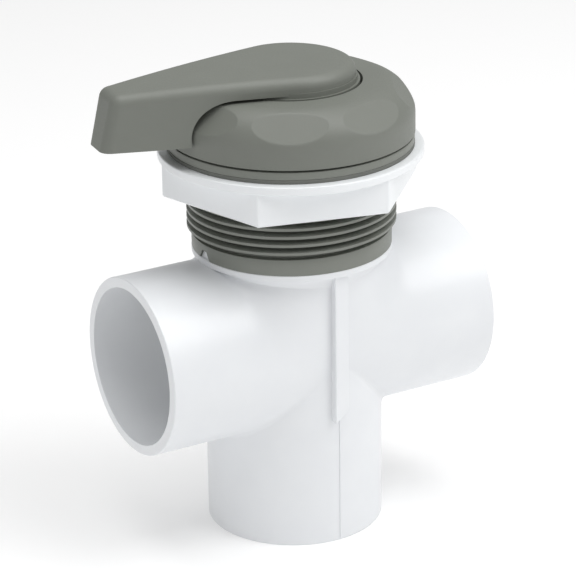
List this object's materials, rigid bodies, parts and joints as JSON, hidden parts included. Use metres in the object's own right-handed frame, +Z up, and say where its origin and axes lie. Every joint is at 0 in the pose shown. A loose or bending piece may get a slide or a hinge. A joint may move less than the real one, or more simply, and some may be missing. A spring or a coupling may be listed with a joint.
{
  "type": "three-way diverter valve",
  "caption": "Three-way plastic diverter valve with equal pipe sockets, threaded wall collar with locknut, domed screw cap and a lever handle on top.",
  "frame": {"origin": "centre of the bottom socket's mouth", "axes": "+Z up along the stem, +X along the run towards the port that the lever does not point to"},
  "size_m": [0.1475, 0.1002, 0.184],
  "materials": {
    "white_pvc": "moulded white PVC, soft gloss",
    "white_pvc_nut": "moulded white PVC, soft gloss",
    "white_rotor_plastic": "moulded, satin",
    "grey_abs": "moulded grey ABS, fine satin texture",
    "grey_abs_cap": "moulded grey ABS, fine satin texture",
    "grey_abs_bonnet": "moulded grey ABS, satin",
    "grey_abs_handle": "moulded grey ABS, fine satin texture",
    "grey_rubber": "matte moulded rubber",
    "black_rubber": "matte nitrile rubber",
    "natural_acetal": "smooth, waxy",
    "spring_steel": "drawn wire"
  },
  "bodies": {
    "fixed_body": {"valve_body": "white_pvc", "wall_collar": "grey_abs", "neck_o_ring": "black_rubber", "rotor_wear_ring": "natural_acetal"},
    "gasket_ring": {"shell_gasket": "grey_rubber"},
    "nut": {"locknut": "white_pvc_nut"},
    "inner_lid": {"bonnet": "grey_abs_bonnet", "bonnet_o_ring": "black_rubber", "cap_slip_ring": "natural_acetal", "stem_bushing": "natural_acetal", "thrust_washer": "natural_acetal"},
    "cap": {"screw_cap": "grey_abs_cap"},
    "turning_stem": {"rotor": "white_rotor_plastic", "gate_seal": "black_rubber", "stem_o_ring_lower": "black_rubber", "stem_o_ring_upper": "black_rubber", "handle_clip": "spring_steel", "handle": "grey_abs_handle"}
  },
  "joints": [
    {"name": "nut_travel", "type": "slide", "parent": "fixed_body", "child": "gasket_ring", "axis": [0, 0, 1], "range_m": [-0.016, 0]},
    {"name": "nut_turn", "type": "hinge", "parent": "gasket_ring", "child": "nut", "pos_m": [0, 0, 0.1434], "axis": [0, 0, 1], "range_deg": [-1814, 0]},
    {"name": "cap_lift", "type": "slide", "parent": "fixed_body", "child": "inner_lid", "axis": [0, 0, 1], "range_m": [0, 0.008]},
    {"name": "cap_turn", "type": "hinge", "parent": "inner_lid", "child": "cap", "pos_m": [0, 0, 0.165], "axis": [0, 0, 1], "range_deg": [0, 900]},
    {"name": "handle_turn", "type": "hinge", "parent": "inner_lid", "child": "turning_stem", "pos_m": [0, 0, 0.165], "axis": [0, 0, 1], "range_deg": [-173, 7]}
  ],
  "couplings": [
    {"joint": "nut_travel", "follows": "nut_turn", "m_per_rad": 0.00050532},
    {"joint": "cap_lift", "follows": "cap_turn", "m_per_rad": 0.00050532}
  ]
}
